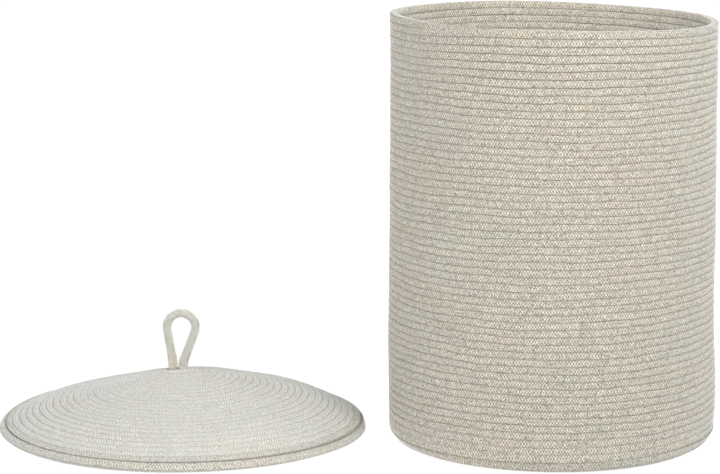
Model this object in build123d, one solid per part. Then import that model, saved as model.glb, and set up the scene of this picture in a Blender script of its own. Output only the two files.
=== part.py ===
from build123d import *
import os
from math import asin, atan2, cos, hypot, pi, radians, sin, sqrt, tan

# Laundry hamper coiled from braided cotton rope, with a loose domed lid, in millimetres.
# The origin is the centre of the hamper's underside, on the floor, and +Z is up.
# The lid lies on the floor beside the hamper, towards -X, as it is put down in use.
# Each coil is drawn as closed turns: its spiral climbs only one rope width per turn.

# Rope and thread
PITCH = 8.37                # from one turn of rope to the next, sewn side by side
ROPE_R = 4.3                # rope in the coils
THREAD_R = 0.45             # sewing thread lying in the grooves
THREAD_GAP = 0.03           # thread to rope

# Hamper
HAMPER_R = 190.0
HAMPER_H = 500.0
BASE_CORNER_R = 18.0        # outside radius where the base turns up into the wall
WALL_BANDS = 4              # nodes that the wall's turns are shared out to
FOOT_FLAT = 0.3             # the base's rope is pressed this much flatter where it stands

# Lid
LID_X = -434.5
LID_Y = 30.0
LID_R = 218.0
SHOULDER_R = 9.0            # bend of the rope's centre line just above the lip
SKIRT_SLOPE = 23.5          # degrees, outer part of the dome
SKIRT_INNER_R = 179.0       # where the outer part ends
KNEE_R = 250.0              # bend between the outer and the inner part
CROWN_SLOPE = 13.0          # degrees, inner part of the dome
SKIRT_TURNS = 7             # last turn of the skirt, counted from 0 at the lip
CROWN_BANDS = 3             # nodes that the crown's turns are shared out to

# Loop handle, from a thicker rope, standing up through the eye of the lid
LOOP_SHIFT_X = -8.5         # loop's root from the lid's centre
LOOP_R = 4.75
CORE_R = 2.6
CORE_GAP = 0.05
LEG_SPACING = 9.8           # between the two legs at the root
LOOP_BEND_R = 16.6          # top of the loop, to the rope's centre
LOOP_BEND_X = 5.1           # centre of that bend from the loop's root
LOOP_TOP_Z = 145.6
EYE_ROPE_R = 4.5
EYE_Z = 74.2                # rope centre of the turn round the legs
EYE_GAP = 0.1
JOINT_GAP = 0.3             # between the loop's rounded ends and what is under them
TAIL_CORNER_Z = 58.0        # where the tails turn outwards under the dome
TAIL_BEND_R = 9.0
TAIL_END_X = 44.0           # tip of a tail from the loop's root
TACKS_AT = (26.0, 32.0, 38.0)
TACK_R = 0.4
TACK_GAP = 0.12

# Worked out
LOOP_X = LID_X + LOOP_SHIFT_X
HINGE_Z = EYE_Z + EYE_ROPE_R + JOINT_GAP + LOOP_R
LOOP_BEND_Z = LOOP_TOP_Z - LOOP_R - LOOP_BEND_R
EYE_PATH_R = LOOP_R + EYE_ROPE_R + EYE_GAP


def hamper_path():
    """Rope's centre line in section, from the rim turn down the wall and in to the axis.

    A path is its start (r, z), its heading in radians and its stretches, each a length and the
    radius that it bends with: 0 for straight, positive to the left and negative to the right.
    """
    wall = HAMPER_H - ROPE_R - BASE_CORNER_R + FOOT_FLAT
    corner_path_r = BASE_CORNER_R - ROPE_R
    stretches = [
        (wall, 0),
        (corner_path_r * pi / 2, -corner_path_r),
        (HAMPER_R - BASE_CORNER_R, 0),
    ]
    return (HAMPER_R - ROPE_R, HAMPER_H - ROPE_R), -pi / 2, stretches


def lid_path():
    """Rope's centre line in section, from the lip turn up over the dome to the axis."""
    skirt, crown = radians(SKIRT_SLOPE), radians(CROWN_SLOPE)
    lip_r = LID_R - ROPE_R
    skirt_outer_r = lip_r - SHOULDER_R * (1 - sin(skirt))
    crown_r = SKIRT_INNER_R - KNEE_R * (sin(skirt) - sin(crown))
    stretches = [
        (SHOULDER_R * (pi / 2 - skirt), SHOULDER_R),
        ((skirt_outer_r - SKIRT_INNER_R) / cos(skirt), 0),
        (KNEE_R * (skirt - crown), KNEE_R),
        (crown_r / cos(crown), 0),
    ]
    return (lip_r, ROPE_R), pi / 2, stretches


def along(path, distance):
    """Point (r, z) at a distance along a path."""
    (r, z), heading, stretches = path
    for length, bend in stretches:
        step = min(distance, length)
        distance -= step
        if bend:
            turned = step / bend
            r += bend * (sin(heading + turned) - sin(heading))
            z += bend * (cos(heading) - cos(heading + turned))
            heading += turned
        else:
            r += step * cos(heading)
            z += step * sin(heading)
    return r, z


def turn_centres(path):
    """Rope centres of all turns, evenly spaced from the outer end to the axis."""
    total = sum(length for length, bend in path[2])
    turns = round(total / PITCH)
    centres = [along(path, total * i / turns) for i in range(turns)]
    return centres + [(0.0, along(path, total)[1])]


def offset_point(a, b, reach, side):
    """Point at equal reach from two rope centres, left (1) or right (-1) of the line a to b."""
    half = hypot(b[0] - a[0], b[1] - a[1]) / 2
    out = sqrt(reach**2 - half**2) * side / (2 * half)
    return (a[0] + b[0]) / 2 - (b[1] - a[1]) * out, (a[1] + b[1]) / 2 + (b[0] - a[0]) * out


def in_section(point):
    return Vector(point[0], 0, point[1])


def groove(centres, i, side):
    """Bottom of the groove after turn i, or for the innermost turn its pole on the axis."""
    if i == len(centres) - 1:
        return 0.0, centres[-1][1] - side * ROPE_R
    return offset_point(centres[i], centres[i + 1], ROPE_R, side)


def surface_arc(centres, i, side):
    """Arc of the rope's surface round turn i, from the groove before it to the one after it.

    Going along the coil, the left side's arcs turn clockwise and the right side's the other way.
    """
    r, z = centres[i]
    start, end = groove(centres, i - 1, side), groove(centres, i, side)
    start_angle = atan2(start[1] - z, start[0] - r)
    end_angle = atan2(end[1] - z, end[0] - r)
    middle = start_angle - side * ((start_angle - end_angle) * side % (2 * pi)) / 2
    top = (r + ROPE_R * cos(middle), z + ROPE_R * sin(middle))
    return ThreePointArc(in_section(start), in_section(top), in_section(end))


def free_end_arc(centres):
    """Arc of the rope's surface round the outermost turn, from its one groove to the other."""
    (r, z), (next_r, next_z) = centres[:2]
    scale = ROPE_R / hypot(r - next_r, z - next_z)
    top = (r + (r - next_r) * scale, z + (z - next_z) * scale)
    return ThreePointArc(in_section(groove(centres, 0, 1)), in_section(top),
                         in_section(groove(centres, 0, -1)))


def web(centres, i):
    """Line across the rope where turn i meets the next, or along the axis at the innermost."""
    return Line(in_section(groove(centres, i, 1)), in_section(groove(centres, i, -1)))


def coil(centres, first, last):
    """Turns first to last of a coil as one ring of rope, flat where it meets the next stretch."""
    edges = [surface_arc(centres, i, side) for side in (1, -1) for i in range(max(first, 1), last + 1)]
    edges.append(free_end_arc(centres) if first == 0 else web(centres, first - 1))
    edges.append(web(centres, last))
    return revolve(make_face(edges), axis=Axis.Z)


def pressed_flat(ring):
    """The ring with what would reach below the floor taken off."""
    return ring - Pos(0, 0, -ROPE_R / 2) * Cylinder(HAMPER_R, ROPE_R)


def thread_rings(centres, side):
    """A ring of thread in every groove along one side of a coil, in a diamond section."""
    rings = []
    for a, b in zip(centres, centres[1:]):
        r, z = offset_point(a, b, ROPE_R + THREAD_R + THREAD_GAP, side)
        corners = [(r + THREAD_R, z), (r, z + THREAD_R), (r - THREAD_R, z), (r, z - THREAD_R)]
        if r > THREAD_R * 2:
            section = make_face(Polyline([in_section(c) for c in corners], close=True))
            rings.append(revolve(section, axis=Axis.Z))
    return rings


def stadium(half_length, radius, z):
    """Closed wire round two points on X, in a level plane."""
    left, right = -half_length, half_length
    return Wire([
        Line((left, -radius, z), (right, -radius, z)),
        ThreePointArc((right, -radius, z), (right + radius, 0, z), (right, radius, z)),
        Line((right, radius, z), (left, radius, z)),
        ThreePointArc((left, radius, z), (left - radius, 0, z), (left, -radius, z)),
    ])


def loop_path():
    """Centre line of the loop: up one leg, round the top and down the other."""
    def touch(root_x, side):
        to_x, to_z = LOOP_BEND_X - root_x, LOOP_BEND_Z - HINGE_Z
        reach = hypot(to_x, to_z)
        angle = atan2(to_z, to_x) + side * asin(LOOP_BEND_R / reach)
        length = sqrt(reach**2 - LOOP_BEND_R**2)
        return Vector(root_x + length * cos(angle), 0, HINGE_Z + length * sin(angle))

    left_root = Vector(-LEG_SPACING / 2, 0, HINGE_Z)
    right_root = Vector(LEG_SPACING / 2, 0, HINGE_Z)
    left, right = touch(left_root.X, 1), touch(right_root.X, -1)
    top = Vector(LOOP_BEND_X, 0, LOOP_BEND_Z + LOOP_BEND_R)
    return Wire([Line(left_root, left), ThreePointArc(left, top, right), Line(right, right_root)])


def tube_along(path, radius):
    start = Plane(origin=path @ 0, z_dir=path % 0)
    return sweep(start * Circle(radius), path=path)


def loop_parts():
    """The loop's braided cover, closed by rounded ends at its root, and the core inside it."""
    path = loop_path()
    ends = [Pos(*(path @ t)) * Sphere(LOOP_R) for t in (0, 1)]
    cover = tube_along(path, LOOP_R) + ends[0] + ends[1] - tube_along(path, CORE_R + CORE_GAP)
    return cover, tube_along(path, CORE_R)


def tail_path(side):
    """From under the loop's root down through the eye and out under the dome."""
    root_x = side * LEG_SPACING / 2
    run = TAIL_END_X - abs(root_x)
    corner = Vector(root_x, 0, TAIL_CORNER_Z)
    tip = Vector(side * TAIL_END_X, 0, TAIL_CORNER_Z - run * tan(radians(CROWN_SLOPE)))
    top = Vector(root_x, 0, HINGE_Z - LOOP_R - JOINT_GAP)
    return FilletPolyline(top, corner, tip, radius=TAIL_BEND_R)


def tail_tacks(side):
    """Half turns of thread under a tail, which hold it up against the dome."""
    slope = radians(CROWN_SLOPE)
    tacks = []
    for x in TACKS_AT:
        run = x - LEG_SPACING / 2
        centre = Vector(side * x, 0, TAIL_CORNER_Z - run * tan(slope))
        along = Vector(side * cos(slope), 0, -sin(slope))
        ring_r = LOOP_R + TACK_GAP + TACK_R
        below = Vector(-side * sin(slope), 0, -cos(slope))
        path = ThreePointArc(centre + Vector(0, -ring_r, 0), centre + below * ring_r,
                             centre + Vector(0, ring_r, 0))
        section = Plane(origin=path @ 0, z_dir=path % 0, x_dir=along)
        tacks.append(sweep(section * Circle(TACK_R), path=path))
    return tacks


def hamper_nodes():
    path = hamper_path()
    centres = turn_centres(path)
    wall, corner = path[2][0][0], path[2][1][0]
    wall_end = int(wall / PITCH)
    edge_end = int((wall + corner) / PITCH) + 1
    bands = [round(wall_end * i / WALL_BANDS) for i in range(WALL_BANDS + 1)]
    return {
        "rim_coil": coil(centres, 0, 0),
        **{f"wall_coil_{i + 1}": coil(centres, bands[i] + 1, bands[i + 1]) for i in range(WALL_BANDS)},
        "base_edge_coil": pressed_flat(coil(centres, wall_end + 1, edge_end)),
        "base_coil": pressed_flat(coil(centres, edge_end + 1, len(centres) - 1)),
        "hamper_needle_thread": Compound(children=thread_rings(centres, 1)),
        "hamper_bobbin_thread": Compound(children=thread_rings(centres, -1)),
    }


def lid_nodes():
    centres = turn_centres(lid_path())
    to_lid = Pos(LID_X, LID_Y, 0)
    to_loop = Pos(LOOP_X, LID_Y, 0)
    eye_half = LEG_SPACING / 2
    eye_outer = EYE_PATH_R + EYE_ROPE_R + EYE_GAP
    eye_hole = to_loop * extrude(make_face(stadium(eye_half, eye_outer, 0)), amount=HAMPER_H)
    eye_path = stadium(eye_half, EYE_PATH_R, EYE_Z)
    cover, core = loop_parts()
    clear_of_eye = eye_outer + abs(LOOP_SHIFT_X) + eye_half + THREAD_R
    sewn = [c for c in centres if c[0] - PITCH > clear_of_eye]
    crown_turns = len(centres) - 1 - SKIRT_TURNS
    bands = [SKIRT_TURNS + round(crown_turns * i / CROWN_BANDS) for i in range(CROWN_BANDS + 1)]
    crown = [to_lid * coil(centres, bands[i] + 1, bands[i + 1]) for i in range(CROWN_BANDS)]
    crown[-1] = crown[-1] - eye_hole
    return {
        "lid_lip_coil": to_lid * coil(centres, 0, 1),
        "lid_skirt_coil": to_lid * coil(centres, 2, SKIRT_TURNS),
        **{f"lid_crown_coil_{i + 1}": band for i, band in enumerate(crown)},
        "lid_needle_thread": to_lid * Compound(children=thread_rings(sewn, -1)),
        "lid_bobbin_thread": to_lid * Compound(children=thread_rings(sewn, 1)),
        "lid_eye_turn": to_loop * tube_along(eye_path, EYE_ROPE_R),
        "loop_tails": to_loop * Compound(children=[tube_along(tail_path(s), LOOP_R) for s in (-1, 1)]),
        "tail_tack_thread": to_loop * Compound(children=tail_tacks(-1) + tail_tacks(1)),
        "loop_cover": to_loop * cover,
        "loop_core": to_loop * core,
    }


os.makedirs("parts", exist_ok=True)
for name, shape in {**hamper_nodes(), **lid_nodes()}.items():
    export_step(shape, f"parts/{name}.step")
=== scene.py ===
from math import asin, atan2, cos, hypot, pi, radians, sin, sqrt, tan

import bpy
import numpy as np
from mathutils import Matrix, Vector


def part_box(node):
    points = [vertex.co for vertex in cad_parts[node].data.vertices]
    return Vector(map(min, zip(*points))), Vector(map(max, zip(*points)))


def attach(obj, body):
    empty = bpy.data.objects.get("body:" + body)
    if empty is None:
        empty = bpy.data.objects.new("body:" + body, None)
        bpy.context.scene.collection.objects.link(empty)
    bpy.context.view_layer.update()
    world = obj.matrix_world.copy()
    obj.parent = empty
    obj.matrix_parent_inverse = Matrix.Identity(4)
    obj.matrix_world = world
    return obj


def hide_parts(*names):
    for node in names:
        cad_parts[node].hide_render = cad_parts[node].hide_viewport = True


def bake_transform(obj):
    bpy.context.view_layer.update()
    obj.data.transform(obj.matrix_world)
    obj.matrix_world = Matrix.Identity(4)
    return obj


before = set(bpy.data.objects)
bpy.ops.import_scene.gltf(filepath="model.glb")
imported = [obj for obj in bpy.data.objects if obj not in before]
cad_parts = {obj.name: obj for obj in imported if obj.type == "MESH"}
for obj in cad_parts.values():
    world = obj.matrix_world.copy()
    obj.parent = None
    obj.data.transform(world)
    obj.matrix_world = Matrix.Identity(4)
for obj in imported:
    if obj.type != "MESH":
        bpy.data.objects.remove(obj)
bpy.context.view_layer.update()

MM = 0.001

# Rope
PITCH = 8.39 * MM            # one turn of the coil to the next
ROPE_R = 4.3 * MM
BRAID_LENGTH = 3.3 * MM      # one diamond of the braid, along the rope
BRAID_ROUND = 10             # diamonds round the rope
BRAID_DEPTH = 0.42 * MM
RING_STEP = BRAID_LENGTH / 2  # between the mesh's rings along a coil
LOOP_BRAID_DEPTH = 1.1 * MM
STITCH_LENGTH = 5.2 * MM     # one zigzag of the seam
STITCH_WIDTH = 1.3 * MM      # to each side of the groove
THREAD_R = 0.34 * MM

# Hamper and lid, from the CAD nodes' boxes
RIM_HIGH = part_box("rim_coil")[1]
HAMPER_R = RIM_HIGH[0]
HAMPER_H = RIM_HIGH[2]
CORNER_R = 18 * MM
FOOT_FLAT = 0.3 * MM         # the base's rope is pressed this much where it stands
LIP_LOW, LIP_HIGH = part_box("lid_lip_coil")
LID_X = (LIP_LOW[0] + LIP_HIGH[0]) / 2
LID_Y = (LIP_LOW[1] + LIP_HIGH[1]) / 2
LID_R = (LIP_HIGH[0] - LIP_LOW[0]) / 2
SHOULDER_R = 9 * MM
SKIRT_SLOPE = radians(23.5)
SKIRT_INNER_R = 179 * MM
KNEE_R = 250 * MM
CROWN_SLOPE = radians(13)

# Loop and its tails
LOOP_R = 5.2 * MM
LOOP_SWELL = 0.35 * MM       # added to its radius, as its braid is cut in more deeply
EYE_LOW, EYE_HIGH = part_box("lid_eye_turn")
LOOP_X = (EYE_LOW[0] + EYE_HIGH[0]) / 2
EYE_R = 9.35 * MM
EYE_HALF = 5.1 * MM
HINGE_Z = 83.75 * MM
TAIL_Z = 56.0 * MM
TAIL_X = 44 * MM             # how far each tail reaches from the eye under the dome
RIGHT_LEG_OUT = 3.2 * MM     # the right leg's root lies this much further out
TACKS = 7                    # stitches over each tail
TACK_START = 25              # in millimetres, from the eye to the first
TACK_STEP = 2.2              # in millimetres, to the next
LOOP_TOP_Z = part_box("loop_cover")[1][2] + 0.8 * MM


# ---------------------------------------------------------------- paths

def hamper_path():
    """Rope's centre line in section, from the rim down the wall and in to the axis.

    A path is its start (r, z), its heading and its stretches, each a length and the radius
    that it bends with: 0 for straight, positive to the left, negative to the right.
    """
    corner = CORNER_R - ROPE_R
    stretches = [
        (HAMPER_H - ROPE_R - CORNER_R + FOOT_FLAT, 0),
        (corner * pi / 2, -corner),
        (HAMPER_R - CORNER_R, 0),
    ]
    return (HAMPER_R - ROPE_R, HAMPER_H - ROPE_R), -pi / 2, stretches


def lid_path():
    """Rope's centre line in section, from the lip up over the dome to the axis."""
    lip = LID_R - ROPE_R
    skirt_outer = lip - SHOULDER_R * (1 - sin(SKIRT_SLOPE))
    crown = SKIRT_INNER_R - KNEE_R * (sin(SKIRT_SLOPE) - sin(CROWN_SLOPE))
    stretches = [
        (SHOULDER_R * (pi / 2 - SKIRT_SLOPE), SHOULDER_R),
        ((skirt_outer - SKIRT_INNER_R) / cos(SKIRT_SLOPE), 0),
        (KNEE_R * (SKIRT_SLOPE - CROWN_SLOPE), KNEE_R),
        (crown / cos(CROWN_SLOPE), 0),
    ]
    return (lip, ROPE_R), pi / 2, stretches


def path_length(path):
    return sum(length for length, bend in path[2])


def along(path, distance):
    """Points r, z and heading at distances along a path, as arrays."""
    (r0, z0), heading0, stretches = path
    r = np.full_like(distance, r0)
    z = np.full_like(distance, z0)
    heading = np.full_like(distance, heading0)
    left = distance.copy()
    for length, bend in stretches:
        step = np.clip(left, 0, length)
        left = left - length
        if bend:
            turned = step / bend
            r += bend * (np.sin(heading + turned) - np.sin(heading))
            z += bend * (np.cos(heading) - np.cos(heading + turned))
            heading = heading + turned
        else:
            r += step * np.cos(heading)
            z += step * np.sin(heading)
    return r, z, heading


# ---------------------------------------------------------------- meshes

def new_mesh(name, verts, quads, caps=(), uvs=None):
    """Smooth mesh object from vertices, quads and end caps, with the quads' UV map "rope"."""
    mesh = bpy.data.meshes.new(name)
    corners = np.concatenate([np.asarray(quads).ravel()] + [np.asarray(c) for c in caps])
    sizes = np.concatenate([np.full(len(quads), 4), [len(c) for c in caps]]).astype(int)
    mesh.vertices.add(len(verts))
    mesh.vertices.foreach_set("co", verts.astype(np.float32).ravel())
    mesh.loops.add(len(corners))
    mesh.loops.foreach_set("vertex_index", corners.astype(np.int32))
    mesh.polygons.add(len(sizes))
    mesh.polygons.foreach_set("loop_start", (np.cumsum(sizes) - sizes).astype(np.int32))
    mesh.polygons.foreach_set("use_smooth", np.ones(len(sizes), bool))
    if uvs is not None:
        layer = mesh.uv_layers.new(name="rope")
        padded = np.zeros((len(corners), 2), np.float32)
        padded[:len(uvs)] = uvs
        layer.data.foreach_set("uv", padded.ravel())
    mesh.update(calc_edges=True)
    mesh.validate()
    obj = bpy.data.objects.new(name, mesh)
    bpy.context.scene.collection.objects.link(obj)
    return obj


def tube_mesh(name, points, lengthwise):
    """Skin over rings of points, with UVs of rope length in metres and turns round the rope."""
    rings, sides = points.shape[:2]
    i = np.arange(rings - 1)[:, None] * sides
    j = np.arange(sides)[None, :]
    k = (j + 1) % sides
    quads = np.stack([i + j, i + k, i + sides + k, i + sides + j], -1).reshape(-1, 4)
    u0, u1 = (np.broadcast_to(u[:, None], (rings - 1, sides))
              for u in (lengthwise[:-1], lengthwise[1:]))
    v0 = np.broadcast_to(j / sides, (rings - 1, sides))
    v1 = v0 + 1 / sides
    uvs = np.stack([u0, v0, u0, v1, u1, v1, u1, v0], -1).reshape(-1, 2)
    caps = [np.arange(sides)[::-1], np.arange((rings - 1) * sides, rings * sides)]
    middle = points[0].mean(0)
    a, b, c = points[0, 0], points[0, 1], points[1, 0]
    if np.dot(np.cross(b - a, c - a), a - middle) < 0:
        quads = quads[:, ::-1]
        uvs = uvs.reshape(-1, 4, 2)[:, ::-1].reshape(-1, 2)
        caps = [cap[::-1] for cap in caps]
    return new_mesh(name, points.reshape(-1, 3), quads, caps, uvs)


def braid_height(u, v):
    """Height of a diamond braid, 0 to 1, at diamonds along and round the rope."""
    a, b = u + v, u - v
    return np.abs(np.sin(pi * a) * np.sin(pi * b))


def squeezed_section(sides, half_across, half_out, exponent):
    """Points of a rounded square section: out along the normal and across to the side."""
    t = np.arange(sides) / sides * 2 * pi
    c, s = np.cos(t), np.sin(t)
    return (half_out * np.sign(c) * np.abs(c) ** (2 / exponent),
            half_across * np.sign(s) * np.abs(s) ** (2 / exponent))


def rope_points(centres, normals, across, section, scale, lengthwise, depth=BRAID_DEPTH):
    """Surface points of a braided rope: a ring of points round each centre."""
    out, side = section
    sides = len(out)
    u = lengthwise[:, None] / BRAID_LENGTH
    v = np.arange(sides)[None, :] / sides * BRAID_ROUND
    sink = 1 - depth * (1 - braid_height(u, v)) / ROPE_R
    reach = (sink * np.asarray(scale).reshape(-1, 1))[:, :, None]
    return centres[:, None] + reach * (out[None, :, None] * normals[:, None]
                                       + side[None, :, None] * across[:, None])


# ---------------------------------------------------------------- softness

def soften_hamper(p):
    """The standing hamper's small unevenness: rim tipped to one side, rows wandering, wall not quite
    round, underside pressed flat on the floor."""
    x, y, z = p[..., 0], p[..., 1], p[..., 2]
    theta = np.arctan2(y, x)
    up = np.clip(z / HAMPER_H, 0, 1)
    # Fuller near the foot on one side, with shallow waves round and up the wall
    swell = (0.024 * np.exp(-((up - 0.13) / 0.14) ** 2) * np.clip(np.cos(theta), 0, 1) ** 2
             + 0.0030 * np.sin(2 * theta + 5 * up)
             + 0.0022 * np.sin(3 * theta - 9 * up + 1)
             + 0.0016 * np.sin(5 * theta + 14 * up + 2)
             + 0.0010 * np.sin(9 * theta - 33 * up))
    swell = swell * np.clip(z / CORNER_R, 0, 1)
    tip = (-(0.023 * x + 0.008 * y) * up ** 3 - 0.0015 * up ** 3
           + 0.0006 * np.sin(4 * theta + 0.6) * up ** 4)
    wander = (0.0008 * np.sin(3 * theta + 11 * up) + 0.0004 * np.sin(8 * theta - 23 * up + 2)
              + 0.0003 * np.sin(13 * theta + 47 * up + 1) + 0.0002 * np.sin(29 * theta - 70 * up))
    near_foot = np.clip(z / (4 * CORNER_R), 0, 1)
    near_rim = np.clip((HAMPER_H - z) / (6 * PITCH), 0.1, 1)
    wander = wander * near_foot * near_rim
    out = p.copy()
    out[..., 0] = x * (1 + swell)
    out[..., 1] = y * (1 + swell)
    out[..., 2] = np.maximum(z + tip + wander, 0)
    return out


def soften_lid(p):
    """The lid is slightly oval, and its crown is fuller on one side."""
    x, y, z = p[..., 0] - LID_X, p[..., 1] - LID_Y, p[..., 2]
    theta = np.arctan2(y, x)
    rel = np.hypot(x, y) / LID_R
    outer = np.clip(rel, 0, 1) ** 2
    back, front = np.clip(np.sin(theta), 0, 1), np.clip(-np.sin(theta), 0, 1)
    oval = (-0.020 * np.sin(2 * theta) * back + (0.036 + 0.006 * np.sin(2 * theta)) * front) * outer
    full = 4 * rel * np.clip(1 - rel, 0, 1)
    lift = full * (0.0032 * np.cos(theta + 0.2) + 0.0006 * np.sin(5 * theta + 9 * rel))
    lift = lift + 0.0016 * np.exp(-((rel - 0.28) / 0.15) ** 2)
    out = p.copy()
    out[..., 0] = LID_X + x * (1 + oval) - 0.0022 * outer
    out[..., 1] = LID_Y + y * (1 + oval)
    out[..., 2] = np.maximum(z + lift, 0)
    return out


# ---------------------------------------------------------------- coils

def smooth_step(x):
    x = np.clip(x, 0, 1)
    return x * x * (3 - 2 * x)


def rope_wobble(turns, size):
    """How far the rope strays along its length, different on neighbouring turns."""
    return size * (np.sin(2 * pi * 2.618 * turns) + 0.7 * np.sin(2 * pi * 5.387 * turns + 1)
                   + 0.5 * np.sin(2 * pi * 11.73 * turns + 2))


def end_scale(turns, end_turns):
    """Thickness of the rope where its end is thinned and sewn down."""
    return 0.4 + 0.6 * smooth_step(turns / end_turns)


def spun(path_point, theta, centre_x=0.0, centre_y=0.0, outside=1):
    """Centres, outward normals and directions across, from section points turned about Z."""
    r, z, heading = path_point
    c, s = np.cos(theta), np.sin(theta)
    n_r, n_z = -outside * np.sin(heading), outside * np.cos(heading)
    centre = np.stack([centre_x + r * c, centre_y + r * s, z], -1)
    normal = np.stack([n_r * c, n_r * s, n_z], -1)
    across = np.stack([np.cos(heading) * c, np.cos(heading) * s, np.sin(heading)], -1)
    return centre, normal, across


def levelled(turns):
    """Rows below the rim at numbers of turns: level near the rim, stepping down under the rope's
    end, and climbing evenly lower down."""
    row = np.floor(turns)
    stepping = np.maximum(row - 1, -1) + smooth_step((turns - row) / RIM_END_TURNS)
    level = np.exp(-(turns / 7) ** 2)
    return level * np.where(row < 1, 0, stepping) + (1 - level) * (turns - 0.5)


def hamper_spiral(turns):
    """The hamper's rope at numbers of turns from its end on the rim, clockwise from above."""
    path = hamper_path()
    rows = levelled(np.maximum(turns, 0))
    last = levelled(np.array([float(HAMPER_TURNS)]))[0]
    distance = rows / last * path_length(path)
    r, z, heading = along(path, distance)
    turned = along(path, distance - PITCH / 2)[2] - along(path, distance + PITCH / 2)[2]
    rising = ROPE_R * (1 - end_scale(turns, RIM_END_TURNS)) * 0.9
    r = np.maximum(r, 0.5 * MM) + rope_wobble(turns, 0.16 * MM)
    centre, normal, across = spun((r, z + rising, heading), HAMPER_START - turns * 2 * pi)
    return centre, normal, across * (1 + ROPE_R * turned / PITCH)[:, None]


def lid_spiral(turns):
    """The lid's rope from its end on the lip to the turn round the loop's two legs."""
    path = lid_path()
    inner = path_length(path) - EYE_R / cos(CROWN_SLOPE)
    from_eye = LID_TURNS - turns
    distance = np.clip(turns / (LID_TURNS - EYE_TURNS), 0, 1) * inner
    r, z, heading = along(path, distance)
    theta = LID_START - turns * 2 * pi
    c = np.cos(theta)
    shift = (LOOP_X - LID_X) * np.exp(-(from_eye / 9) ** 2)
    stretch = EYE_HALF * np.tanh(4 * c) * np.exp(-np.clip(from_eye - 1, 0, None) / 5)
    raised = EYE_RAISED * smooth_step((2.1 - from_eye) / 1.1)
    tuck = 7 * MM * smooth_step(1 - from_eye / 0.16)
    end = 3.0 * MM * smooth_step(1 - turns / LIP_END_TURNS)
    strayed = r + rope_wobble(turns, 0.12 * MM)
    centre, normal, across = spun((strayed, z + raised - tuck, heading), theta, LID_X, LID_Y, -1)
    centre[:, 0] += shift + stretch
    centre += across * end[:, None]
    return centre, normal, across


def even_turns(spiral, first, last, step):
    """Numbers of turns whose points lie about step apart along the rope."""
    fine = np.linspace(first, last, max(200, int((last - first) * 360)))
    centre = spiral(fine)[0]
    travelled = np.concatenate([[0], np.cumsum(np.linalg.norm(np.diff(centre, axis=0), axis=1))])
    even = np.linspace(0, travelled[-1], max(4, int(round(travelled[-1] / step))) + 1)
    return np.interp(even, travelled, fine)


def coil_piece(name, spiral, soften, first, last, ring_offset, squeeze, end_turns=None):
    """A stretch of coiled rope; returns the object and the number of its last ring, from which
    the next stretch counts on, so that the braid runs through."""
    turns = even_turns(spiral, first, last, RING_STEP)
    lengthwise = (ring_offset + np.arange(len(turns))) * RING_STEP
    centre, normal, across = spiral(turns)
    scale = np.ones(len(turns)) if end_turns is None else end_scale(turns, end_turns)
    exponent, overlap = squeeze
    section = squeezed_section(BRAID_ROUND * 2, ROPE_R * overlap, ROPE_R, exponent)
    points = soften(rope_points(centre, normal, across, section, scale, lengthwise))
    return tube_mesh(name, points, lengthwise), ring_offset + len(turns) - 1


def seam_thread(name, spiral, soften, first, last, face):
    """Zigzag thread that bridges the groove between neighbouring turns, on one face of the coil."""
    turns = even_turns(spiral, first, last, STITCH_LENGTH / 4)
    centre, normal, across = spiral(turns)
    following = spiral(turns + 1)[0]
    step = following - centre
    step = step / np.linalg.norm(step, axis=1)[:, None]
    phase = np.arange(len(turns)) % 4
    swing = np.choose(phase, [-1.0, 0.0, 1.0, 0.0])
    height = np.where(phase % 2 == 0, ROPE_R * 0.80, ROPE_R * 0.86)
    line = ((centre + following) / 2 + face * normal * height[:, None]
            + step * (swing * STITCH_WIDTH)[:, None])
    forward = np.gradient(line, axis=0)
    forward = forward / np.linalg.norm(forward, axis=1)[:, None]
    out = face * normal
    beside = np.cross(forward, out)
    beside = beside / np.linalg.norm(beside, axis=1)[:, None]
    angle = (np.arange(3) / 3 + 0.25) * 2 * pi
    c, s = np.cos(angle)[None, :, None], np.sin(angle)[None, :, None]
    points = line[:, None] + THREAD_R * (c * beside[:, None] + s * out[:, None])
    lengthwise = np.arange(len(turns)) * STITCH_LENGTH / 4
    return tube_mesh(name, soften(points), lengthwise)


# ---------------------------------------------------------------- loop

def arc_points(centre, radius, start, end, count):
    angle = np.linspace(start, end, count)
    return np.stack([centre[0] + radius * np.cos(angle), centre[1] + radius * np.sin(angle)], -1)


def loop_route():
    """The loop's rope in the XZ plane, from the lid's axis: tail, leg, round the top, leg, tail."""
    bend, bend_x = 17.0 * MM, 5.4 * MM
    bend_z = LOOP_TOP_Z - LOOP_R - bend
    corner = 9 * MM
    drop = (TAIL_X - EYE_HALF) * tan(CROWN_SLOPE)

    def touch(root_x, side):
        to_x, to_z = bend_x - root_x, bend_z - HINGE_Z
        reach = hypot(to_x, to_z)
        angle = atan2(to_z, to_x) + side * asin(bend / reach)
        length = sqrt(reach ** 2 - bend ** 2)
        return root_x + length * cos(angle), HINGE_Z + length * sin(angle)

    left, right = touch(-EYE_HALF, 1), touch(EYE_HALF, -1)
    start = atan2(left[1] - bend_z, left[0] - bend_x) % (2 * pi)
    end = atan2(right[1] - bend_z, right[0] - bend_x)
    turn = pi / 2 - CROWN_SLOPE
    left_corner = arc_points((-EYE_HALF - corner, TAIL_Z + corner * 0.75), corner, -turn, 0, 12)
    right_corner = arc_points((EYE_HALF + corner, TAIL_Z + corner * 0.75), corner, pi, pi + turn, 12)
    return np.concatenate([
        [(-TAIL_X, TAIL_Z - drop)], left_corner, [(-EYE_HALF, HINGE_Z)],
        arc_points((bend_x, bend_z), bend, start, end, 40),
        [(EYE_HALF + RIGHT_LEG_OUT, HINGE_Z)], right_corner, [(TAIL_X, TAIL_Z - drop)],
    ])


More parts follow.
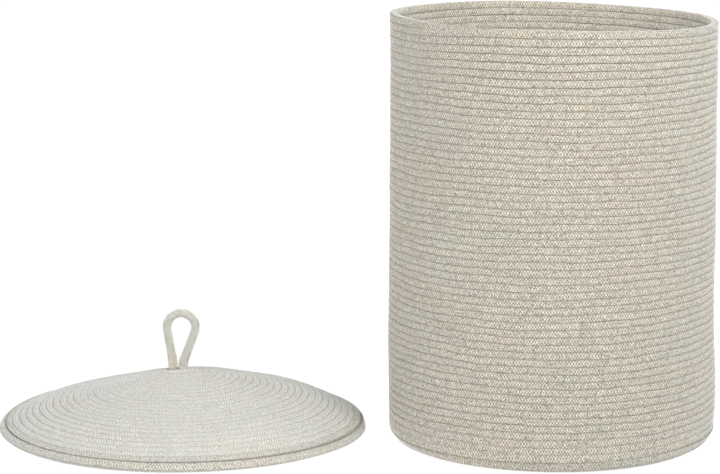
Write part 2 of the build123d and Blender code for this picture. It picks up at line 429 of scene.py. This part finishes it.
def evenly(line, step):
    """Points evenly spaced along a line, its corners softened."""
    travelled = np.concatenate([[0], np.cumsum(np.linalg.norm(np.diff(line, axis=0), axis=1))])
    even = np.linspace(0, travelled[-1], int(round(travelled[-1] / step)) + 1)
    points = np.stack([np.interp(even, travelled, line[:, k]) for k in (0, 1)], -1)
    kernel = np.hanning(13)[1:-1]
    kernel = kernel / kernel.sum()
    half = len(kernel) // 2
    ends = [2 * points[0] - points[half:0:-1], points, 2 * points[-1] - points[-2:-half - 2:-1]]
    longer = np.concatenate(ends)
    return np.stack([np.convolve(longer[:, k], kernel, "valid") for k in (0, 1)], -1)


def loop_piece():
    """The loop with its tails, as one rope with rounded ends, a little thicker at its root."""
    ring_step = BRAID_LENGTH / 6
    xz = evenly(loop_route(), ring_step)
    points = np.stack([LOOP_X + xz[:, 0], np.full(len(xz), LID_Y), xz[:, 1]], -1)
    forward = np.gradient(points, axis=0)
    forward /= np.linalg.norm(forward, axis=1)[:, None]
    beside = np.tile(np.array([0.0, -1.0, 0.0]), (len(points), 1))
    normal = np.cross(beside, forward)
    lengthwise = np.arange(len(points)) * ring_step
    from_end = np.minimum(lengthwise, lengthwise[::-1])
    rounded = np.sqrt(1 - (1 - np.clip(from_end / (4 * MM), 0.02, 1)) ** 2)
    rounded *= 1 + 0.10 * np.exp(-((xz[:, 1] - HINGE_Z) / (12 * MM)) ** 2)
    swollen = LOOP_R + LOOP_SWELL
    section = squeezed_section(BRAID_ROUND * 4, swollen, swollen, 2)
    skin = rope_points(points, normal, beside, section, rounded, lengthwise, LOOP_BRAID_DEPTH)
    return tube_mesh("loop_handle", skin, lengthwise)


def tack_threads():
    """Thread sewn over each tail, which holds it up under the dome."""
    sides, bends = 6, 15
    verts, quads, caps = [], [], []
    for side in (-1, 1):
        for k in range(TACKS):
            x = (TACK_START + TACK_STEP * k) * MM
            drop = (x - EYE_HALF) * tan(CROWN_SLOPE)
            centre = np.array([LOOP_X + side * x, LID_Y, TAIL_Z - drop])
            ring = LOOP_R + 0.2 * MM
            arc = np.linspace(-0.56 * pi, 0.56 * pi, bends)
            lean = 1.1 * MM * (-1) ** k
            line = centre + np.stack([lean * np.sin(arc), ring * np.sin(arc), -ring * np.cos(arc)], -1)
            forward = np.gradient(line, axis=0)
            forward /= np.linalg.norm(forward, axis=1)[:, None]
            out = line - centre
            out /= np.linalg.norm(out, axis=1)[:, None]
            beside = np.cross(forward, out)
            angle = np.arange(sides) / sides * 2 * pi
            c, s = np.cos(angle)[None, :, None], np.sin(angle)[None, :, None]
            base = len(verts) * sides * bends
            skin = line[:, None] + THREAD_R * (c * out[:, None] + s * beside[:, None])
            verts.append(skin.reshape(-1, 3))
            for i in range(bends - 1):
                for j in range(sides):
                    near, far = base + i * sides, base + (i + 1) * sides
                    quads.append([near + j, far + j, far + (j + 1) % sides, near + (j + 1) % sides])
            caps.append(base + np.arange(sides))
            caps.append(base + (bends - 1) * sides + np.arange(sides)[::-1])
    lengthwise = np.tile(np.array([0, 1, 1, 0]), len(quads)) * MM
    round_it = np.tile(np.array([0, 0, 1, 1]), len(quads)) / sides
    return new_mesh("tail_tacks", np.concatenate(verts), np.array(quads), caps,
                    np.stack([lengthwise, round_it], -1))


# ---------------------------------------------------------------- materials

class Nodes:
    """Short calls for building a material's nodes."""

    def __init__(self, material):
        material.use_nodes = True
        self.tree = material.node_tree
        self.shader = self.tree.nodes["Principled BSDF"]

    def add(self, kind, **values):
        node = self.tree.nodes.new(kind)
        for key, value in values.items():
            setattr(node, key, value)
        return node

    def link(self, a, b):
        self.tree.links.new(a, b)

    def math(self, operation, a, b=None):
        node = self.add("ShaderNodeMath", operation=operation)
        for socket, value in zip(node.inputs, (a, b)):
            if value is None:
                continue
            if isinstance(value, (int, float)):
                socket.default_value = value
            else:
                self.link(value, socket)
        return node.outputs[0]

    def mix(self, factor, a, b):
        node = self.add("ShaderNodeMix", data_type="RGBA")
        for socket, value in ((node.inputs[0], factor), (node.inputs[6], a), (node.inputs[7], b)):
            if isinstance(value, (int, float, tuple)):
                socket.default_value = value
            else:
                self.link(value, socket)
        return node.outputs[2]

    def noise(self, scale, detail=2.0, roughness=0.5, vector=None):
        node = self.add("ShaderNodeTexNoise")
        node.inputs["Scale"].default_value = scale
        node.inputs["Detail"].default_value = detail
        node.inputs["Roughness"].default_value = roughness
        if vector is not None:
            self.link(vector, node.inputs["Vector"])
        return node.outputs["Fac"]


def tone(colour, factor):
    return tuple(c * factor for c in colour) + (1.0,)


def ramp(n, value, *stops):
    """Colours at positions along a value."""
    node = n.add("ShaderNodeValToRGB")
    elements = node.color_ramp.elements
    while len(elements) < len(stops):
        elements.new(0.5)
    for element, (position, colour) in zip(elements, stops):
        element.position = position
        element.color = colour
    n.link(value, node.inputs[0])
    return node.outputs[0]


def spread(n, value, low, high, out_low, out_high):
    """A value mapped from one range to another, and held at its ends."""
    node = n.add("ShaderNodeMapRange")
    n.link(value, node.inputs[0])
    for socket, number in zip(node.inputs[1:5], (low, high, out_low, out_high)):
        socket.default_value = number
    return node.outputs[0]


def cotton(name, colour, warm, cool, contrast, groove_shade):
    """Braided natural cotton: strands over and under in diamonds, fibres, flecks and uneven tone.

    The colour holds painted shade in the gaps between the strands, painted light on their tops, and
    painted shade in the grooves between neighbouring turns. Warm and cool are the tints that the tone
    wanders between, contrast is how strongly the strands, with their painted shade and light, and the
    flecks show, and groove_shade how much painted shade darkens the gaps between neighbouring turns.
    """
    material = bpy.data.materials.new(name)
    n = Nodes(material)
    uv = n.add("ShaderNodeUVMap", uv_map="rope").outputs[0]
    parts = n.add("ShaderNodeSeparateXYZ")
    n.link(uv, parts.inputs[0])
    u = n.math("DIVIDE", parts.outputs[0], BRAID_LENGTH)
    v = n.math("MULTIPLY", parts.outputs[1], float(BRAID_ROUND))
    a, b = n.math("ADD", u, v), n.math("SUBTRACT", u, v)
    cell_a, cell_b = n.math("FLOOR", a), n.math("FLOOR", b)
    over = n.math("LESS_THAN", n.math("FLOORED_MODULO", n.math("ADD", cell_a, cell_b), 2.0), 0.5)
    frac_a, frac_b = n.math("FRACT", a), n.math("FRACT", b)
    bump_a = n.math("SINE", n.math("MULTIPLY", frac_a, pi))
    bump_b = n.math("SINE", n.math("MULTIPLY", frac_b, pi))

    def choose(first, second):
        return n.math("ADD", second, n.math("MULTIPLY", n.math("SUBTRACT", first, second), over))

    across, lengthwise = choose(bump_a, bump_b), choose(bump_b, bump_a)
    height = n.math("MULTIPLY", across, n.math("ADD", n.math("MULTIPLY", lengthwise, 0.6), 0.4))
    fibres = n.math("SINE", n.math("MULTIPLY", choose(frac_a, frac_b), 2 * pi * 3))

    cell = n.add("ShaderNodeCombineXYZ")
    n.link(cell_a, cell.inputs[0])
    n.link(cell_b, cell.inputs[1])
    chance = n.add("ShaderNodeTexWhiteNoise", noise_dimensions="2D")
    n.link(cell.outputs[0], chance.inputs["Vector"])

    position = n.add("ShaderNodeTexCoord").outputs["Object"]
    stretched = n.add("ShaderNodeCombineXYZ")
    n.link(n.math("MULTIPLY", parts.outputs[0], 9.0), stretched.inputs[0])
    along_rope = n.noise(1.0, 3.0, 0.6, stretched.outputs[0])
    blotch = n.noise(14.0, 3.0, 0.6, position)
    fine = n.noise(1100.0, 3.0, 0.7, position)
    flecks = n.noise(600.0, 1.0, 0.5, position)
    gap_noise = n.noise(330.0, 1.0, 0.5, position)
    # Painted shade in the groove between neighbouring turns, at the rope's sides, broken into dashes by
    # noise
    beside = n.math("ABSOLUTE", n.math("SINE", n.math("MULTIPLY", parts.outputs[1], 2 * pi)))
    groove = n.math("MULTIPLY", spread(n, beside, 0.60, 0.74, 0.0, 1.0),
                    spread(n, gap_noise, 0.46, 0.56, 0.1, 1.0))

    # Painted shade in the gaps between the braid's strands and painted light on their tops, set by the
    # strands' height
    gap_shade, low, high = 1 - 0.70 * contrast, 1 - 0.04 * contrast, 1 + 0.14 * contrast
    shade = ramp(n, height, (0.10, tone(colour, gap_shade)), (0.45, tone(colour, low)),
                 (0.90, tone(colour, high)))
    plies = spread(n, n.noise(640.0, 2.0, 0.6, position), 0.36, 0.64, -0.36 * contrast, 0.15 * contrast)
    each = spread(n, chance.outputs["Value"], 0, 1, 1 - 0.12 * contrast, 1 + 0.12 * contrast)
    strand = n.math("ADD", each, plies)
    tinted = n.add("ShaderNodeMix", data_type="RGBA", blend_type="MULTIPLY")
    tinted.inputs[0].default_value = 1.0
    n.link(shade, tinted.inputs[6])
    uneven = n.math("ADD", n.math("MULTIPLY", along_rope, 0.6), n.math("MULTIPLY", blotch, 0.4))
    tint = ramp(n, uneven, (0.40, warm + (1.0,)), (0.50, (1, 1, 1, 1)), (0.60, cool + (1.0,)))
    n.link(tint, tinted.inputs[7])
    speck = spread(n, flecks, 0.60, 0.66, 0.0, 0.95 * contrast)
    dark = n.mix(speck, tinted.outputs[2], tone(colour, 0.36))
    # Painted shade darkens the groove between neighbouring turns
    dark = n.mix(n.math("MULTIPLY", groove, groove_shade), dark, tone(colour, 0.30))
    scaled = n.add("ShaderNodeVectorMath", operation="SCALE")
    n.link(dark, scaled.inputs[0])
    n.link(strand, scaled.inputs["Scale"])
    n.link(scaled.outputs[0], n.shader.inputs["Base Color"])

    n.link(spread(n, fine, 0.3, 0.7, 0.80, 0.98), n.shader.inputs["Roughness"])
    n.shader.inputs["Specular IOR Level"].default_value = 0.15
    n.shader.inputs["Sheen Weight"].default_value = 0.45
    n.shader.inputs["Sheen Tint"].default_value = (0.86, 0.94, 1.0, 1.0)
    n.shader.inputs["Sheen Roughness"].default_value = 0.5

    surface = n.math("ADD", n.math("MULTIPLY", height, 0.75), n.math("MULTIPLY", fibres, 0.05))
    surface = n.math("ADD", surface, n.math("MULTIPLY", fine, 0.30))
    bump = n.add("ShaderNodeBump")
    bump.inputs["Strength"].default_value = 0.8
    bump.inputs["Distance"].default_value = 0.45 * MM
    n.link(surface, bump.inputs["Height"])
    n.link(bump.outputs[0], n.shader.inputs["Normal"])
    return material


def thread_material(name, colour):
    """Plied sewing thread with a fine twist."""
    material = bpy.data.materials.new(name)
    n = Nodes(material)
    uv = n.add("ShaderNodeUVMap", uv_map="rope").outputs[0]
    parts = n.add("ShaderNodeSeparateXYZ")
    n.link(uv, parts.inputs[0])
    twist = n.math("SINE", n.math("ADD", n.math("MULTIPLY", parts.outputs[0], 2 * pi / (0.9 * MM)),
                                  n.math("MULTIPLY", parts.outputs[1], 2 * pi)))
    position = n.add("ShaderNodeTexCoord").outputs["Object"]
    fine = n.noise(1500.0, 2.0, 0.6, position)
    colour_mix = n.mix(n.math("ADD", n.math("MULTIPLY", twist, 0.3), n.math("MULTIPLY", fine, 0.6)),
                       tone(colour, 0.72), tone(colour, 1.08))
    n.link(colour_mix, n.shader.inputs["Base Color"])
    n.shader.inputs["Roughness"].default_value = 0.85
    n.shader.inputs["Sheen Weight"].default_value = 0.1
    bump = n.add("ShaderNodeBump")
    bump.inputs["Strength"].default_value = 0.5
    bump.inputs["Distance"].default_value = 0.1 * MM
    n.link(twist, bump.inputs["Height"])
    n.link(bump.outputs[0], n.shader.inputs["Normal"])
    return material


def finish_piece(obj, material, body, slot, *nodes):
    """Gives a piece its material, hides the CAD nodes it stands for, and sets it on the body it rides
    on; slot is not used.
    """
    obj.data.materials.append(material)
    if nodes:
        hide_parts(*nodes)
    if body:
        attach(obj, body)
    return obj


# ---------------------------------------------------------------- build

HAMPER_START = radians(253)
HAMPER_TURNS = round(path_length(hamper_path()) / PITCH)
RIM_END_TURNS = 0.15
WALL_TURNS = (HAMPER_H - ROPE_R - CORNER_R) / PITCH
WALL_PIECES = 12
FOOT_TURNS = 2.6             # round the corner, in the last wall piece
BASE_OUTER_TURNS = 6         # in the first base piece
# How rope is squeezed between its neighbours: its section's exponent, and its width over its thickness
WALL_SQUEEZE = (6.5, 1.055)
FOOT_SQUEEZE = (8.0, 1.085)
LIP_SQUEEZE = (9.0, 1.085)
LID_SQUEEZE = (8.0, 1.07)
LID_START = radians(120)
LIP_END_TURNS = 0.06
EYE_TURNS = 0.9              # of the lid's rope lying round the loop's legs
EYE_RAISED = 0.3 * MM
LID_TURNS = (path_length(lid_path()) - EYE_R / cos(CROWN_SLOPE)) / PITCH + EYE_TURNS

# The tints that each cotton's tone wanders between
WARM = (1.02, 0.98, 0.945)
COOL = (0.975, 1.0, 0.995)
LID_WARM = (1.01, 0.98, 0.95)
LID_COOL = (0.98, 1.0, 1.01)
hamper_cotton = cotton("hamper_cotton", (0.66, 0.613, 0.516), WARM, COOL, 1.0, 0.50)
lid_cotton = cotton("lid_cotton", (0.735, 0.718, 0.655), LID_WARM, LID_COOL, 0.6, 0.10)
# The lip's cotton is the lid's, made warmer at the hem and darker as painted shade on the lip's front
# face, with more painted shade and light in its braid and grooves
lip_cotton_warmer_and_shaded = cotton("lip_cotton_warmer_and_shaded", (0.68, 0.655, 0.58), LID_WARM, LID_COOL, 0.75, 0.20)
loop_cotton = cotton("loop_cotton", (0.88, 0.86, 0.765), LID_WARM, LID_COOL, 1.15, 0.0)
thread = thread_material("sewing_thread", (0.66, 0.62, 0.52))
lid_thread = thread_material("lid_sewing_thread", (0.70, 0.68, 0.62))


def build_hamper():
    """The hamper's wall, base and seam, from the rim down, in pieces of the one rope."""
    edges = np.linspace(0, WALL_TURNS + FOOT_TURNS, WALL_PIECES + 1)
    rings = 0
    for i in range(WALL_PIECES):
        band = f"wall_coil_{i * 4 // WALL_PIECES + 1}"
        nodes = {0: [band, "rim_coil"], WALL_PIECES - 1: [band, "base_edge_coil"]}.get(i, [band])
        squeeze = FOOT_SQUEEZE if i == WALL_PIECES - 1 else WALL_SQUEEZE
        piece, rings = coil_piece(f"wall_rope_{i + 1}", hamper_spiral, soften_hamper,
                                  edges[i], edges[i + 1], rings, squeeze,
                                  RIM_END_TURNS if i == 0 else None)
        finish_piece(piece, hamper_cotton, "hamper", "hamper_rope", *nodes)
    base = [edges[-1], edges[-1] + BASE_OUTER_TURNS, HAMPER_TURNS - 0.2]
    for i in range(2):
        piece, rings = coil_piece(f"base_rope_{i + 1}", hamper_spiral, soften_hamper,
                                  base[i], base[i + 1], rings, FOOT_SQUEEZE)
        finish_piece(piece, hamper_cotton, "hamper", "hamper_rope", "base_coil")
    seams = np.linspace(0.1, HAMPER_TURNS - 2, 4)
    for i in range(3):
        outer = seam_thread(f"hamper_needle_zigzag_{i + 1}", hamper_spiral, soften_hamper,
                            seams[i], seams[i + 1], 1)
        finish_piece(outer, thread, "hamper", "thread", "hamper_needle_thread")
        inner = seam_thread(f"hamper_bobbin_zigzag_{i + 1}", hamper_spiral, soften_hamper,
                            seams[i], seams[i + 1], -1)
        finish_piece(inner, thread, "hamper", "thread", "hamper_bobbin_thread")


def build_lid():
    """The lid's rope from its lip to the eye, its seam, and the loop with its tails and tacks."""
    stretches = [
        ("lid_lip_rope_1", 0, 1, LIP_SQUEEZE, lip_cotton_warmer_and_shaded, ["lid_lip_coil"]),
        ("lid_lip_rope_2", 1, 2, LID_SQUEEZE, lip_cotton_warmer_and_shaded, ["lid_lip_coil"]),
        ("lid_skirt_rope", 2, 8, LID_SQUEEZE, lid_cotton, ["lid_skirt_coil"]),
        ("lid_crown_rope_1", 8, 13, LID_SQUEEZE, lid_cotton, ["lid_crown_coil_1"]),
        ("lid_crown_rope_2", 13, LID_TURNS, LID_SQUEEZE, lid_cotton,
         ["lid_crown_coil_2", "lid_crown_coil_3", "lid_eye_turn"]),
    ]
    rings = 0
    for name, first, last, squeeze, material, nodes in stretches:
        piece, rings = coil_piece(name, lid_spiral, soften_lid, first, last, rings, squeeze,
                                  LIP_END_TURNS if first == 0 else None)
        finish_piece(piece, material, "lid", "lid_rope", *nodes)
    outer = seam_thread("lid_needle_zigzag", lid_spiral, soften_lid, 0.1, LID_TURNS - 2.2, 1)
    finish_piece(outer, lid_thread, "lid", "thread", "lid_needle_thread")
    inner = seam_thread("lid_bobbin_zigzag", lid_spiral, soften_lid, 0.1, LID_TURNS - 2.2, -1)
    finish_piece(inner, lid_thread, "lid", "thread", "lid_bobbin_thread")
    finish_piece(tack_threads(), lid_thread, "lid", "thread", "tail_tack_thread")
    loop = finish_piece(loop_piece(), loop_cotton, None, "loop_rope",
                        "loop_cover", "loop_core", "loop_tails")
    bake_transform(loop)


def build_stage():
    """White floor and surroundings, and the lights."""
    mesh = bpy.data.meshes.new("floor")
    size = 14.0
    corners = [(-size, -size, 0), (size, -size, 0), (size, size, 0), (-size, size, 0)]
    mesh.from_pydata(corners, [], [(0, 1, 2, 3)])
    floor = bpy.data.objects.new("floor", mesh)
    bpy.context.scene.collection.objects.link(floor)
    material = bpy.data.materials.new("floor_white")
    material.use_nodes = True
    shader = material.node_tree.nodes["Principled BSDF"]
    shader.inputs["Base Color"].default_value = (0.12, 0.12, 0.12, 1)
    shader.inputs["Roughness"].default_value = 0.9
    shader.inputs["Emission Color"].default_value = (1, 1, 1, 1)
    shader.inputs["Emission Strength"].default_value = 0.93
    mesh.materials.append(material)

    world = bpy.data.worlds.new("studio")
    bpy.context.scene.world = world
    world.use_nodes = True
    background = world.node_tree.nodes["Background"]
    background.inputs["Color"].default_value = (1, 1, 1, 1)
    seen = world.node_tree.nodes.new("ShaderNodeLightPath").outputs["Is Camera Ray"]
    strength = world.node_tree.nodes.new("ShaderNodeMapRange")
    strength.inputs["To Min"].default_value = 0.62
    strength.inputs["To Max"].default_value = 1.0
    world.node_tree.links.new(seen, strength.inputs["Value"])
    world.node_tree.links.new(strength.outputs["Result"], background.inputs["Strength"])

    def aim(obj, place, target):
        obj.location = place
        obj.rotation_euler = (Vector(target) - Vector(place)).to_track_quat("-Z", "Y").to_euler()
        bpy.context.scene.collection.objects.link(obj)

    def area(name, place, target, size, power):
        light = bpy.data.lights.new(name, "AREA")
        light.energy = power
        light.shape = "DISK"
        light.size = size
        aim(bpy.data.objects.new(name, light), place, target)

    def spot(name, place, target, angle, power):
        light = bpy.data.lights.new(name, "SPOT")
        light.energy = power
        light.spot_size = radians(angle)
        light.spot_blend = 1.0
        light.shadow_soft_size = 0.2
        aim(bpy.data.objects.new(name, light), place, target)

    spot("lid_light", (0.12, -1.2, 1.0), (-0.23, 0.03, 0.04), 18, 11)
    spot("edge_light", (-1.5, 0.3, 1.2), (-0.19, 0, 0.22), 24, 11)
    area("key_light", (0.7, -1.45, 1.75), (0, 0, 0.4), 0.8, 24)
    area("fill_light", (-2.4, -2.0, 1.6), (0, 0, 0.3), 1.4, 24)
    area("side_light", (2.2, -0.6, 1.5), (0, 0, 0.35), 1.0, 7)
    area("mouth_light", (0, -0.10, 0.86), (0, 0.19, 0.45), 0.3, 1.2)


def build_camera():
    data = bpy.data.cameras.new("camera")
    data.sensor_width = 36
    data.lens = 143.5
    data.clip_end = 100
    camera = bpy.data.objects.new("camera", data)
    camera.location = (-0.2247, -3.3148, 0.8333)
    camera.rotation_euler = (radians(90 - 10.175), 0, 0)
    bpy.context.scene.collection.objects.link(camera)
    bpy.context.scene.camera = camera


build_camera()
build_stage()
build_hamper()
build_lid()
bpy.context.scene.view_settings.view_transform = "Standard"
